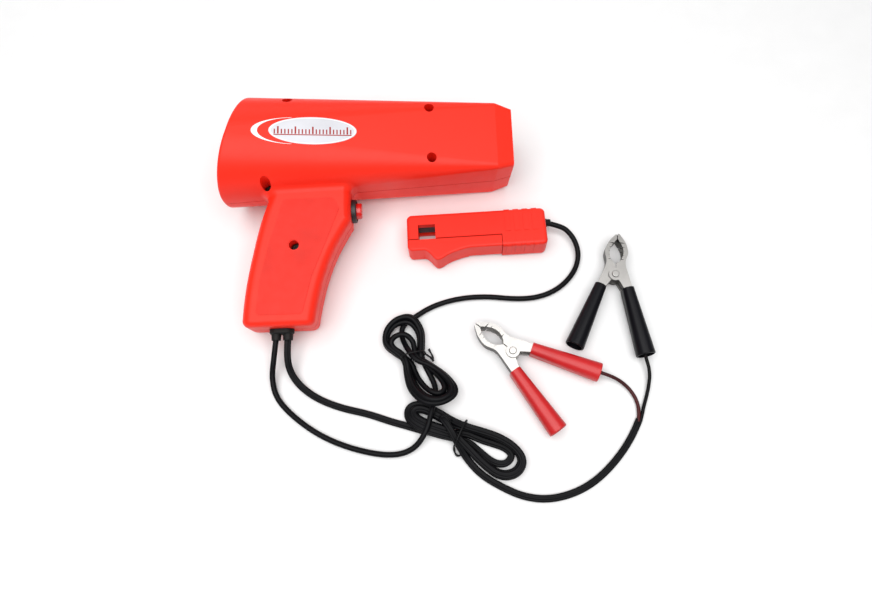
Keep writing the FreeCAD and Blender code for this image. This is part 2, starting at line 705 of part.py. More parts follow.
def core_i():
    """Straight ferrite on the slider that closes the core's mouth."""
    return box((CORE_X[0], CORE_X[1]), (SEAM_Y - BODY_GAP - 5.0, SEAM_Y - BODY_GAP), CORE_Z)


def coil_block(gap):
    leg = (CORE_X[1] - CORE_LEG, CORE_X[1])
    return box((leg[0] - 3.2 - gap, leg[1] + 3.2 + gap), (-3.8 - gap, 5.6 + gap),
               (CORE_Z[0] - 2.4 - gap, CORE_Z[1] + 2.4 + gap))


def pickup_coil():
    """Winding around the core's east leg."""
    leg = box((CORE_X[1] - CORE_LEG - 0.1, CORE_X[1] + 0.1), (-20, 20), (CORE_Z[0] - 0.1, CORE_Z[1] + 0.1))
    block = coil_block(0)
    upright = [e for e in block.Edges if e.BoundBox.YLength > 5]
    return block.makeFillet(1.2, upright).cut(leg)


def thumb_ridges():
    """Four low ribs over the north edge and four round-ended ones over the south edge."""
    ribs = []
    low, high = 5.0, PICKUP_HEIGHT + 0.35
    for step in range(4):
        x = (RIB_START_X + RIB_STEP * step, RIB_START_X + RIB_STEP * step + RIB_WIDTH)
        north = box(x, (-3.6, PICKUP_NORTH + 0.45), (low, high))
        edge = [e for e in north.Edges if e.BoundBox.XLength > 3 and e.BoundBox.ZMin > low + 1
                and e.BoundBox.YMin > PICKUP_NORTH]
        south = box(x, (PICKUP_SOUTH - 0.35, -9.5), (low, high))
        south_edge = [e for e in south.Edges if e.BoundBox.XLength > 3 and e.BoundBox.ZMin > low + 1
                      and e.BoundBox.YMax < PICKUP_SOUTH]
        end = along_z(x[0] + RIB_WIDTH / 2, -9.5, PICKUP_HEIGHT - 0.5, RIB_WIDTH / 2, 0.85)
        ribs += [north.makeFillet(2.8, edge), south.makeFillet(2.8, south_edge), end]
    return ribs


def pickup_housing():
    """Upper moulding: pockets from below for the core, the coil and the slider's spring."""
    body = joined([pickup_envelope()] + thumb_ridges())
    body = body.cut(slider_room(0)).cut(pickup_cavity())
    body = body.cut(box((-5, PICKUP_LENGTH + 5), (-40, 40), (-5, COVER_THICK)))
    pocket = box((CORE_X[0] - 0.1, CORE_X[1] + 0.1), (SEAM_Y - 1, CORE_BACK_Y + 0.1),
                 (0, CORE_Z[1] + 0.1))
    fill = box((WINDOW_X[0] - 0.8, WINDOW_X[1] + 0.8), (SEAM_Y - 1, WINDOW_NORTH - 0.4),
               (0, PICKUP_HEIGHT - 1))
    core_room = core_c()
    way_in = core_room.copy()
    way_in.translate(Vector(0, 0, -CORE_Z[0]))
    pocket = pocket.cut(fill).fuse([core_room, way_in])
    body = body.cut(pocket).cut(coil_block(0.15)).cut(window())
    gallery = box((34.0, 100.0), (-3.5, 12.0), (0, 14.0)).cut(box((38.0, 48.0), (1.5, 13), (0, 20)))
    gallery = gallery.cut(box((92.0, 101.0), (3.5, 13), (0, 20)))
    body = body.cut(gallery)
    for x, y in PICKUP_SCREWS:
        body = body.cut(along_z(x, y, 0, 1.15, 13.2))
    return body.cut(along_x(95, RELIEF_Y, RELIEF_Z, 3.1, 30))


def pickup_cover():
    """Floor plate that closes the housing from below."""
    plate = pickup_envelope().common(box((-5, PICKUP_LENGTH + 5), (-40, 40), (0, COVER_THICK)))
    plate = plate.cut(slider_room(0)).cut(window())
    for x, y in PICKUP_SCREWS:
        plate = plate.cut(along_z(x, y, -1, 1.5, 10)).cut(along_z(x, y, -1, 2.7, 2.4))
    return plate


def pickup_screws():
    screws = []
    for x, y in PICKUP_SCREWS:
        screws.append(joined([along_z(x, y, 0.4, 2.5, 1.0), along_z(x, y, 0.4, 1.1, 12.5)]))
    return group(screws)


def pickup_slider():
    """Sliding jaw: a head with the tooth, a tail that is clear of the cover, and a spring pin."""
    north = SEAM_Y - BODY_GAP
    head = box((0, SLIDER_HEAD_X), (-40, north), (0, 30))
    tail = box((SLIDER_HEAD_X - 1, SLIDER_TAIL_X), (-40, north), (COVER_THICK + BODY_GAP, 30))
    body = slider_envelope().common(joined([head, tail]))
    pin = along_x(SLIDER_TAIL_X - 1, -10.2, 10, 1.6, 5)
    core_pocket = box((CORE_X[0] - 0.05, CORE_X[1] + 0.05), (north - 5.05, SEAM_Y + 1),
                      (CORE_Z[0] - 0.05, CORE_Z[1] + 0.05))
    return joined([body, pin]).cut(core_pocket)


def pickup_spring():
    start = Vector(SLIDER_TAIL_X + 0.5, -10.2, 10)
    return coil_spring(start, Vector(1, 0, 0), 2.6, 0.4, 8, 3.85)


def pickup_relief():
    """Tapered boot where the cord leaves the housing's east end."""
    x = PICKUP_LENGTH
    boot = Part.makeCone(3.6, 2.5, RELIEF_LENGTH, Vector(x, RELIEF_Y, RELIEF_Z), Vector(1, 0, 0))
    neck = along_x(x - 3.0, RELIEF_Y, RELIEF_Z, 3.0, 3.5)
    lock = along_x(x - 5.2, RELIEF_Y, RELIEF_Z, 2.9, 2.4)
    boot = joined([boot, neck, lock])
    notch = along_x(x + 2.2, RELIEF_Y, RELIEF_Z, 6, 0.8).cut(along_x(x, RELIEF_Y, RELIEF_Z, 2.6, 6))
    return boot.cut(notch)


# ---------------------------------------------------------------- battery clips (drawn for y > 0)

def handle_direction():
    angle = math.radians(180 - HANDLE_TURN)
    return Vector(math.cos(angle), math.sin(angle), 0)


def handle_point(distance, offset):
    """A point along the handle, offset to its outside."""
    along = handle_direction()
    across = Vector(along.y, -along.x, 0)
    return HANDLE_START + along * distance + across * offset


def flat(point):
    return (point.x, point.y)


def half_outline(inset):
    """One stamped half seen from above: jaw, ear side and handle.

    An inset outline is the channel's inside. It runs out through the handle's open end.
    """
    handle_end = HANDLE_LENGTH + inset
    inner_low = CLIP_CENTRE_GAP
    tip_x = JAW_OUTLINE[0][0] - inset
    outer = [(x, y - inset) for x, y in JAW_OUTLINE]
    outer[0] = (tip_x, max(outer[0][1], inner_low + 0.4))
    edges = [smooth_curve(outer)]
    corners = [
        outer[-1],
        flat(handle_point(2, HANDLE_HALF - inset)),
        flat(handle_point(handle_end, HANDLE_HALF - inset)),
        flat(handle_point(handle_end, inset - HANDLE_HALF)),
        flat(handle_point(2, inset - HANDLE_HALF)),
        (-3.0, inner_low + 1.5),
        (0.0, inner_low),
        (tip_x, inner_low),
        outer[0],
    ]
    for a, b in zip(corners, corners[1:]):
        edges.append(Part.LineSegment(Vector(a[0], a[1], 0), Vector(b[0], b[1], 0)).toShape())
    return edges


def mouth_cut():
    """The almond gap between the jaws, with teeth left along its edge."""
    edges = [smooth_curve(MOUTH)]
    ends = [MOUTH[-1], (MOUTH[-1][0], -3.0), (MOUTH[0][0], -3.0), MOUTH[0]]
    for a, b in zip(ends, ends[1:]):
        edges.append(Part.LineSegment(Vector(a[0], a[1], 0), Vector(b[0], b[1], 0)).toShape())
    return prism(edges, -20, 20)


def clip_half(half_height):
    """A folded channel: outer web, top and bottom flanges, ears around the rivet, and teeth."""
    outside = prism(half_outline(0), -half_height, half_height)
    inside = prism(half_outline(PLATE), PLATE - half_height, half_height - PLATE)
    half = outside
    for shift in (0, -1.2, -2.4, -3.6, -4.8):
        cutter = inside.copy()
        cutter.translate(Vector(0, shift, 0))
        half = half.cut(cutter)
    half = half.cut(mouth_cut())
    plates = [(-half_height, PLATE - half_height), (half_height - PLATE, half_height)]
    ears = [along_z(0, 0, low, EAR_R, high - low) for low, high in plates]
    half = joined([half] + ears)
    for step in range(5):
        x = 11.5 + 3.4 * step
        half = half.cut(prism(polygon([(x, -1), (x + 1.0, 6.2), (x + 2.0, -1)]), -20, 20).common(
            box((0, 40), (0, 5.9), (-20, 20))))
    return half.cut(along_z(0, 0, -20, RIVET_R + 0.05, 40))


def clip_rivet():
    top = FIXED_HALF_HEIGHT
    shaft = along_z(0, 0, -top - 0.6, RIVET_R, 2 * top + 1.2)
    heads = []
    for side in (-1, 1):
        head = Part.makeCylinder(RIVET_HEAD_R, 1.0, Vector(0, 0, side * (top + 0.1)), Vector(0, 0, side))
        rim = [e for e in head.Edges if abs(e.CenterOfMass.z) > top + 0.6]
        heads.append(head.makeFillet(0.6, rim))
    return joined([shaft] + heads)


def standing_strip(points, thick, half_height):
    """A flat strip standing on edge along a line of points, round at its bends."""
    pieces = [along_z(x, y, -half_height, thick / 2, 2 * half_height) for x, y in points]
    for (ax, ay), (bx, by) in zip(points, points[1:]):
        run = box((0, math.hypot(bx - ax, by - ay)), (-thick / 2, thick / 2), (-half_height, half_height))
        turn = math.degrees(math.atan2(by - ay, bx - ax))
        run.Placement = Placement(Vector(ax, ay, 0), Rotation(Vector(0, 0, 1), turn))
        pieces.append(run)
    return pieces


def clip_spring():
    """Dark strip spring wrapped around the rivet, with a leg into each handle."""
    low, tall = -SPRING_HALF_HEIGHT, 2 * SPRING_HALF_HEIGHT
    eye = along_z(0, 0, low, 3.1, tall).cut(along_z(0, 0, low - 1, 3.1 - SPRING_THICK, tall + 2))
    legs = []
    for side in (-1, 1):
        points = [(x, side * y) for x, y in SPRING_LEG]
        legs += standing_strip(points, SPRING_THICK, SPRING_HALF_HEIGHT)
    return joined([eye] + legs)


def sleeve_section(distance, half_width, half_height, corner):
    along = handle_direction()
    across = Vector(along.y, -along.x, 0)
    return rounded_rectangle(handle_point(distance, 0), across, Vector(0, 0, 1), half_width,
                             half_height, corner)


def clip_sleeve():
    """Tapered vinyl sleeve, oval over the channel and round at its open end."""
    outer = [sleeve_section(0, 4.4, 7.0, 3.9), sleeve_section(SLEEVE_LENGTH, 7.1, 7.1, 6.9)]
    inner = [sleeve_section(-1, 3.2, 5.9, 1.6), sleeve_section(SLEEVE_LENGTH + 1, 6.0, 6.0, 5.8)]
    body = Part.makeLoft(outer, True, True)
    edges = [e for e in body.Edges if e.CenterOfMass.distanceToPoint(handle_point(SLEEVE_LENGTH, 0)) < 8
             and abs((e.CenterOfMass - handle_point(SLEEVE_LENGTH, 0)).dot(handle_direction())) < 0.1]
    body = body.makeFillet(0.9, edges)
    return body.cut(Part.makeLoft(inner, True, True))


def lead_crimp():
    """Folded tab on the fixed handle that grips the lead."""
    start = handle_point(HANDLE_LENGTH - 9, 0)
    crimp = rod(start, handle_direction(), 1.75, 8.5)
    return crimp.cut(rod(handle_point(HANDLE_LENGTH - 6, 0), handle_direction(), LEAD_D / 2, 20))


def mirrored(shape):
    return shape.mirror(Vector(0, 0, 0), Vector(0, 1, 0))


def clip_parts(colour, at, turn):
    """All seven nodes of one clip. Its south-hand half (y < 0) is fixed and takes the lead."""
    placed = Placement(at, Rotation(Vector(0, 0, 1), turn))
    pieces = {
        "jaw_fixed": mirrored(clip_half(FIXED_HALF_HEIGHT)),
        "jaw_moving": clip_half(MOVING_HALF_HEIGHT),
        "rivet": clip_rivet(),
        "spring": clip_spring(),
        "sleeve_fixed": mirrored(clip_sleeve()),
        "sleeve_moving": clip_sleeve(),
        "crimp": mirrored(lead_crimp()),
    }
    return {f"{colour}_clip_{name}": moved(shape, placed) for name, shape in pieces.items()}


# ---------------------------------------------------------------- cords

def gun_placement():
    tilt = Rotation(Vector(0, 1, 0), GUN_PITCH).multiply(Rotation(Vector(1, 0, 0), GUN_ROLL))
    return Placement(GUN_AT, Rotation(Vector(0, 0, 1), GUN_YAW).multiply(tilt))


def moved(shape, placement):
    """A copy of a shape, placed in kit coordinates."""
    copy = shape.copy()
    copy.Placement = placement.multiply(copy.Placement)
    return copy


def turn_angle(before, corner, after):
    return (corner - before).getAngle(after - corner)


def cord_path(points, name):
    """Straight runs joined by tangent arcs, each arc as large as its two runs allow."""
    edges = []
    start = points[0]
    radii = []
    for before, corner, after in zip(points, points[1:], points[2:]):
        run_in, run_out = (before - corner), (after - corner)
        setback = 0.45 * min(run_in.Length, run_out.Length)
        half_turn = turn_angle(before, corner, after) / 2
        radius = setback / math.tan(half_turn)
        radii.append(radius)
        run_in.normalize()
        run_out.normalize()
        enter, leave = corner + run_in * setback, corner + run_out * setback
        inward = (run_in + run_out).normalize()
        middle = corner + inward * (radius / math.cos(half_turn) - radius)
        edges.append(Part.LineSegment(start, enter).toShape())
        edges.append(Part.Arc(enter, middle, leave).toShape())
        start = leave
    edges.append(Part.LineSegment(start, points[-1]).toShape())
    sharpest = max(turn_angle(*corner) for corner in zip(points, points[1:], points[2:]))
    print(f"{name}: radii {min(radii):.1f} to {max(radii):.1f} mm, "
          f"sharpest turn {math.degrees(sharpest):.0f} degrees")
    return Part.Wire(edges)


def cord_tube(points, diameter, name):
    """A round tube along the route; prints its volume against section times length."""
    path = cord_path(points, name)
    ring = Part.Wire(Part.makeCircle(diameter / 2, points[0], points[1] - points[0]))
    tube = path.makePipeShell([ring], True, True)
    expected = math.pi * diameter ** 2 / 4 * path.Length
    print(f"  length {path.Length:.0f} mm, volume / (section x length) {tube.Volume / expected:.4f}")
    return tube


def route(points):
    return [Vector(*point) for point in points]


def hank_prism(outline, z_low, z_high):
    curve = Part.BSplineCurve()
    curve.interpolate(Points=[Vector(x, y, 0) for x, y in outline], PeriodicFlag=True)
    return prism([curve.toShape()], z_low, z_high)


def pickup_hank():
    """Bow-tie hank of the pickup cord; its lower end lies on the power cord's hank."""
    low = hank_prism(PICKUP_HANK, 0, 11).common(box((90, 170), (PICKUP_HANK_STEP_Y, -110), (-1, 20)))
    high = hank_prism(PICKUP_HANK, 7.6, 13).common(box((90, 170), (-220, PICKUP_HANK_STEP_Y), (-1, 20)))
    return joined([low, high])


def power_hank():
    """Long hank of the flat twin cord, low where the other hank lies across it."""
    left = hank_prism(POWER_HANK, 0, 7.2)
    right = hank_prism(POWER_HANK, 0, 10.5).common(box((158, 220), (-270, -190), (-1, 20)))
    return joined([left, right])


def hank_tie(at, turn, length, hank):
    """A twist tie over the waist of a hank, down to the table on both sides."""
    band = box((-length / 2, length / 2), (-2.2, 2.2), (0, 12.4))
    band = band.makeFillet(1.0, [e for e in band.Edges if e.BoundBox.YLength > 4 and e.BoundBox.ZMin > 1])
    band.Placement = Placement(Vector(at[0], at[1], 0), Rotation(Vector(0, 0, 1), turn))
    return band.cut(hank)


def lead_end(at, turn, distance):
    """A point inside the fixed handle's sleeve, in kit coordinates."""
    local = handle_point(distance, 0)
    local.y = -local.y
    return Placement(at, Rotation(Vector(0, 0, 1), turn)).multVec(local)


def cord_parts():
    """Free stretches of cord, both hanks and their ties."""
    place = gun_placement()
    pickup_exit = place.multVec(Vector(PICKUP_EXIT_X, CORD_EXIT_Y, 0))
    power_exit = place.multVec(Vector(POWER_EXIT_X, CORD_EXIT_Y, 0))
    relief_tip = PICKUP_AT + Vector(PICKUP_LENGTH + RELIEF_LENGTH, RELIEF_Y, RELIEF_Z)
    black_ends = [lead_end(BLACK_CLIP_AT, BLACK_CLIP_TURN, d) for d in (SLEEVE_LENGTH, HANDLE_LENGTH - 6)]
    red_ends = [lead_end(RED_CLIP_AT, RED_CLIP_TURN, d) for d in (SLEEVE_LENGTH, HANDLE_LENGTH - 6)]
    first_hank = pickup_hank()
    second_hank = power_hank()
    return {
        "pickup_cord_near": cord_tube([pickup_exit] + route(PICKUP_CORD_NEAR), PICKUP_CORD_D, "pickup near"),
        "pickup_cord_far": cord_tube(route(PICKUP_CORD_FAR) + [relief_tip], PICKUP_CORD_D, "pickup far"),
        "power_cord_near": cord_tube([power_exit] + route(POWER_CORD_NEAR), POWER_CORD_D, "power near"),
        "power_cord_far": cord_tube(route(POWER_CORD_FAR), POWER_CORD_D, "power far"),
        "black_lead": cord_tube(route(BLACK_LEAD) + black_ends, LEAD_D, "black lead"),
        "red_lead": cord_tube(route(RED_LEAD) + red_ends, LEAD_D, "red lead"),
        "pickup_hank": first_hank,
        "power_hank": second_hank,
        "pickup_hank_tie": hank_tie(PICKUP_TIE_AT, PICKUP_TIE_TURN, 18, first_hank),
        "power_hank_tie": hank_tie(POWER_TIE_AT, POWER_TIE_TURN + 90, 17, second_hank),
    }


def gun_parts():
    right, left = gun_shells()
    return {
        "right_shell": right,
        "left_shell": left,
        "rear_cover": rear_cover(),
        "shell_screws": shell_screws(),
        "lens": lens(),
        "lens_ring": lens_ring(),
        "reflector": reflector(),
        "flash_tube": flash_tube(),
        "tube_holder": tube_holder(),
        "circuit_board": circuit_board(),
        "board_posts": board_posts(),
        "inverter_transformer": inverter_transformer(),
        "storage_capacitor": storage_capacitor(),
        "trigger_coil": trigger_coil(),
        "power_transistor": power_transistor(),
        "board_components": board_components(),
        "switch_body": switch_body(),
        "switch_bezel": switch_bezel(),
        "button_cap": button_cap(),
        "button_spring": button_spring(),
        "cable_grommet": cable_grommet(),
        "cord_clamp": cord_clamp(),
        "clamp_posts": clamp_posts(),
        "clamp_screws": clamp_screws(),
        "label_plate": label_plate(),
        "grip_panel_right": grip_panel(1),
        "grip_panel_left": grip_panel(-1),
    }


def pickup_parts():
    return {
        "pickup_housing": pickup_housing(),
        "pickup_cover": pickup_cover(),
        "pickup_screws": pickup_screws(),
        "pickup_core_c": core_c(),
        "pickup_coil": pickup_coil(),
        "pickup_slider": pickup_slider(),
        "pickup_core_i": core_i(),
        "pickup_spring": pickup_spring(),
        "pickup_relief": pickup_relief(),
    }


def main():
    parts = {name: moved(shape, gun_placement()) for name, shape in gun_parts().items()}
    at_pickup = Placement(PICKUP_AT, Rotation())
    parts.update({name: moved(shape, at_pickup) for name, shape in pickup_parts().items()})
    parts.update(clip_parts("black", BLACK_CLIP_AT, BLACK_CLIP_TURN))
    parts.update(clip_parts("red", RED_CLIP_AT, RED_CLIP_TURN))
    parts.update(cord_parts())
    os.makedirs("parts", exist_ok=True)
    for name, shape in parts.items():
        shape.translate(KIT_SHIFT)
        shape.exportStep(f"parts/{name}.step")
    print(len(parts), "parts written")


main()
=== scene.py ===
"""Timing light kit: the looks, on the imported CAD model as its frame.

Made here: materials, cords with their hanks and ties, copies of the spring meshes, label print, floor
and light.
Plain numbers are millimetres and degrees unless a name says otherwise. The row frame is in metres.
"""

import json
import math

import bpy
from mathutils import Matrix, Vector
from mathutils.bvhtree import BVHTree


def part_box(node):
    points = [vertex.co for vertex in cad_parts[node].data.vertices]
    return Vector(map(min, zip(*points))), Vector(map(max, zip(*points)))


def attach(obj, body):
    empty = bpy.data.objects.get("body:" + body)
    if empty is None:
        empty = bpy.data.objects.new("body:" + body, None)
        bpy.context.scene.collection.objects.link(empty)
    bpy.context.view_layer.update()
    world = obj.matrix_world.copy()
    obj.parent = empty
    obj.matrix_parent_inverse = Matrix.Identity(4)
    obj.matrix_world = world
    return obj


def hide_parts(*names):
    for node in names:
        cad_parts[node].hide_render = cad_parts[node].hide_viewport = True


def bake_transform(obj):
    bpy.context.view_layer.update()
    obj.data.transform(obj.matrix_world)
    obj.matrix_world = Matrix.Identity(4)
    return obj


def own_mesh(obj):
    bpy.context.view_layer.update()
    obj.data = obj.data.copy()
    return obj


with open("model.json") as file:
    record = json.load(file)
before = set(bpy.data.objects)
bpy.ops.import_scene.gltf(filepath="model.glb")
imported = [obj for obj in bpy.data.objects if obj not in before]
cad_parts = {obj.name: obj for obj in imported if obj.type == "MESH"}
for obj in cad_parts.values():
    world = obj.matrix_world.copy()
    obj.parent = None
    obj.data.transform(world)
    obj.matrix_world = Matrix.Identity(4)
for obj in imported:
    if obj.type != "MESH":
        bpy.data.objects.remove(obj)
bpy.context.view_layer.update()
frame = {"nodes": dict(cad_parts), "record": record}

nodes = frame["nodes"]
SLOTS = {part["node"]: part["material_slot"] for part in frame["record"]["subparts"]}

MM = 0.001
KIT_SHIFT = Vector((-109.006, 48.085, 0.0))

# ---- how the gun lies: tilted back on its rim, and rolled onto its grip
GUN_YAW = -0.72
GUN_PITCH = 3.108
GUN_ROLL = 9.196
GUN_AT = (0.74, 0.68, 40.04)

# ---- cords
PICKUP_EXIT_X = 28.9
POWER_EXIT_X = 37.2
CORD_START_Y = -141
PICKUP_D = 4.0
STRAND_R = 1.25
LEAD_D = 2.6
SPLIT_LENGTH = 16.0
CRIMP_RUN = 8.0
RELIEF_DEPTH = 4.0

PICKUP_NEAR = [(24.5, -154, 12.5), (21.5, -166, 5.6), (24, -180, 2.1), (36, -194, 2), (56, -209.5, 2),
               (80, -220.5, 2), (105, -226.5, 2), (121, -223.5, 3.6), (130.5, -212.5, 8.6),
               (134.5, -199.5, 9), (137, -190, 7), (138.5, -180, 3), (133.5, -169, 3)]
PICKUP_FAR = [(125.5, -162, 11), (121, -155, 9.5), (117, -147, 4), (114.5, -138.5, 2.1),
              (117, -131, 2.1), (124, -127, 2.1), (138.5, -118.4, 2), (158, -113.6, 2),
              (179, -113.2, 2), (200, -116.8, 2), (216, -117.2, 2), (230, -113.5, 2),
              (241.5, -106, 2), (250, -96, 2.2), (253.6, -85.5, 3.3), (252.9, -76.5, 5.2),
              (249.3, -68.5, 7.2), (242.6, -61.4, 8.6)]
POWER_NEAR = [(33.5, -153, 12.6), (35, -164, 6.2), (42, -174, 2.4), (54.5, -183.5, 1.5),
              (71, -190.8, 1.4), (89.5, -196, 1.4), (104.5, -202.2, 1.4), (117, -206.5, 1.4),
              (129, -211, 1.4), (144, -214.5, 1.4)]
POWER_FAR = [(140, -201.5, 8.6), (146.5, -210.5, 10.2), (151.5, -221.5, 7), (157.5, -232.5, 2),
             (166.8, -243.5, 1.4), (180.5, -252.5, 1.4), (193.5, -259, 1.4), (208, -262, 1.4),
             (223, -260.6, 1.4), (237, -256, 1.4), (249.5, -248.5, 1.4), (261.5, -238.2, 1.4),
             (272, -226.3, 1.4), (280.5, -213, 1.5)]
BLACK_LEAD = [(285.6, -203, 1.6), (290.4, -191.5, 2.2), (293, -180, 4.8)]
RED_LEAD = [(279.5, -214.4, 1.6), (281.6, -206.5, 1.6), (280.2, -196.8, 1.6), (275, -188.4, 2.2),
            (267, -182.6, 4.8)]

# the two ends of each hank: outermost and innermost way round, in the order that the cord takes
PICKUP_UPPER = ([(128.8, -158), (130.2, -148), (130.4, -136.5), (124, -126.2), (112.5, -126.6),
                 (103.2, -135), (102.2, -147), (111, -154.5)],
                [(124.6, -158), (124.2, -151.5), (122.6, -145.5), (117.4, -141.6), (110.6, -142.8),
                 (107.2, -146.6), (109.6, -151), (115.5, -155)])
PICKUP_LOWER = ([(117.4, -160.5), (117.8, -172), (120.6, -184), (130, -193.8), (143, -194.8),
                 (154.6, -187.2), (148.4, -175.5), (137, -165.5)],
                [(121.6, -160.5), (124.4, -169), (128.8, -177.5), (134.5, -184.5), (141.6, -187),
                 (145.4, -182), (140, -171.5), (131.5, -164)])
POWER_RIGHT = ([(158, -210.3), (170, -214.2), (181.5, -219), (191.5, -226.5), (197, -236.3),
                (191, -244.8), (179.5, -246), (168.5, -237), (158, -224.5)],
               [(157, -213.5), (167, -219), (176, -222.4), (184.5, -226), (189.5, -231.5),
                (184.5, -237.5), (176, -236.5), (167.5, -229), (158.5, -220)])
POWER_LEFT = ([(148, -217), (137, -213.8), (126, -209.4), (117.2, -202), (117.6, -193.2), (126, -190.8),
               (138.5, -197.5), (148.5, -204.8)],
              [(148.5, -212.6), (138.5, -208.6), (129.5, -204.6), (122.8, -200), (123.4, -196),
               (129.5, -196.2), (139.5, -202.6), (149, -208.6)])

# one entry per half turn: its share of the way in from outermost to innermost, and its height
PICKUP_PASSES = [(0.0, 0.0), (0.5, 0.0), (0.3, 1.2), (0.95, 0.6), (0.12, 4.4), (0.02, 3.8), (0.95, 4.2),
                 (0.3, 5.4)]
POWER_PASSES = [(1.05, 0.0), (0.0, 0.0), (0.0, 1.3), (0.95, 1.3), (0.22, 3.2), (0.1, 2.6), (0.06, 5.4),
                (0.8, 3.9)]

# strands that each hank's turns lie over
UNDER_PICKUP_IN = PICKUP_NEAR[8:12]
UNDER_PICKUP_OUT = PICKUP_FAR[3:7]
UNDER_POWER_IN = POWER_NEAR[7:]

# ---- twist ties
TIE_WIRE_R = 0.55
TIE_STEPS = 15
TIE_STEP_ANGLE = 24.0
TIE_BULGE = 0.12
TIE_LEAN = 0.6
TIE_END_GAP = 0.9
TIE_LOWEST = 0.7
TIE_CLEARANCE = 0.5

CAMERA_AT = (Vector((154.9, -279.9, 452.7)) + KIT_SHIFT) * MM
CAMERA_TO = (Vector((166.6, -108.1, 0.0)) + KIT_SHIFT) * MM
CAMERA_LENS = 26.23
CAMERA_SENSOR = 36.0
CAMERA_SHIFT = (-0.0371, -0.0092)

# ---- light and floor, in metres and watts
WORLD_STRENGTH = 0.22
SOFTBOXES = (("key", (0.0, -0.28, 1.2), (0.03, -0.06, 0), (1.7, 1.35), 22.5),
             ("rear", (-0.2, 1.1, 0.75), (0, 0, 0), (1.6, 0.6), 3.5))
FLOOR_HALF = 6.0
FLOOR_Z = -0.0004

# ---- surface looks: noise cells per metre, and how far painted crease shade reaches out of a corner
TONE_CELLS = 45.0
GLOSS_CELLS = 160.0
METAL_TONE_CELLS = 120.0
COAT_ROUGHNESS = 0.1
CREASE_SHADE_REACH = 1.6
CREASE_SHADE_SAMPLES = 6


# ---------------------------------------------------------------- materials

def shader(name, color, roughness, metallic=0.0, specular=0.5, coat=0.0):
    """A new material with one Principled shader, and its node tree."""
    mat = bpy.data.materials.new(name)
    mat.use_nodes = True
    principled = mat.node_tree.nodes["Principled BSDF"]
    principled.inputs["Base Color"].default_value = (*color, 1.0)
    principled.inputs["Roughness"].default_value = roughness
    principled.inputs["Metallic"].default_value = metallic
    principled.inputs["Specular IOR Level"].default_value = specular
    principled.inputs["Coat Weight"].default_value = coat
    principled.inputs["Coat Roughness"].default_value = COAT_ROUGHNESS
    return mat, mat.node_tree, principled


def noise(tree, scale, detail=3.0, stretch=(1.0, 1.0, 1.0)):
    """A noise texture in the row frame, with cell sizes of about 1 / scale metres."""
    place = tree.nodes.new("ShaderNodeTexCoord")
    mapping = tree.nodes.new("ShaderNodeMapping")
    mapping.inputs["Scale"].default_value = stretch
    texture = tree.nodes.new("ShaderNodeTexNoise")
    texture.inputs["Scale"].default_value = scale
    texture.inputs["Detail"].default_value = detail
    tree.links.new(place.outputs["Object"], mapping.inputs["Vector"])
    tree.links.new(mapping.outputs["Vector"], texture.inputs["Vector"])
    return texture.outputs["Fac"]


def vary_color(tree, principled, fac, low, high):
    """Base colour running between two colours with a texture."""
    ramp = tree.nodes.new("ShaderNodeValToRGB")
    ramp.color_ramp.elements[0].position = 0.3
    ramp.color_ramp.elements[0].color = (*low, 1.0)
    ramp.color_ramp.elements[1].position = 0.7
    ramp.color_ramp.elements[1].color = (*high, 1.0)
    tree.links.new(fac, ramp.inputs["Fac"])
    tree.links.new(ramp.outputs["Color"], principled.inputs["Base Color"])


def vary_roughness(tree, principled, fac, low, high):
    """Roughness running between two values with a texture."""
    spread = tree.nodes.new("ShaderNodeMapRange")
    spread.inputs["To Min"].default_value = low
    spread.inputs["To Max"].default_value = high
    tree.links.new(fac, spread.inputs["Value"])
    tree.links.new(spread.outputs["Result"], principled.inputs["Roughness"])


def add_bump(tree, principled, fac, height_mm, strength):
    """Fine relief in the shading, from a texture."""
    bump = tree.nodes.new("ShaderNodeBump")
    bump.inputs["Strength"].default_value = strength
    bump.inputs["Distance"].default_value = height_mm * MM
    tree.links.new(fac, bump.inputs["Height"])
    tree.links.new(bump.outputs["Normal"], principled.inputs["Normal"])


def shade(tree, principled, fac, dark_share):
    """Base colour scaled down to a share of itself where a texture or a shape value is low."""
    before = principled.inputs["Base Color"].links[0].from_socket
    tint = tree.nodes.new("ShaderNodeMapRange")
    tint.inputs["From Min"].default_value = 0.25
    tint.inputs["From Max"].default_value = 0.75
    tint.inputs["To Min"].default_value = dark_share
    mix = tree.nodes.new("ShaderNodeVectorMath")
    mix.operation = "SCALE"
    tree.links.new(fac, tint.inputs["Value"])
    tree.links.new(before, mix.inputs[0])
    tree.links.new(tint.outputs["Result"], mix.inputs["Scale"])
    tree.links.new(mix.outputs["Vector"], principled.inputs["Base Color"])


def paint_crease_shade(tree, principled, dark_share):
    """Painted shade in the inner corners, such as grooves and the feet of ribs: base colour darkened by
    an ambient occlusion value.
    """
    crease_shade_mask = tree.nodes.new("ShaderNodeAmbientOcclusion")
    crease_shade_mask.samples = CREASE_SHADE_SAMPLES
    crease_shade_mask.inputs["Distance"].default_value = CREASE_SHADE_REACH * MM
    shade(tree, principled, crease_shade_mask.outputs["AO"], dark_share)


def paint_side_wall_shade(tree, principled, dark_share):
    """Painted shade on the side walls and edges of a flat pressing: base colour darkened where the
    surface faces sideways, full on its flat faces.
    """
    place = tree.nodes.new("ShaderNodeNewGeometry")
    split = tree.nodes.new("ShaderNodeSeparateXYZ")
    size = tree.nodes.new("ShaderNodeMath")
    size.operation = "ABSOLUTE"
    tree.links.new(place.outputs["Normal"], split.inputs["Vector"])
    tree.links.new(split.outputs["Z"], size.inputs[0])
    shade(tree, principled, size.outputs["Value"], dark_share)


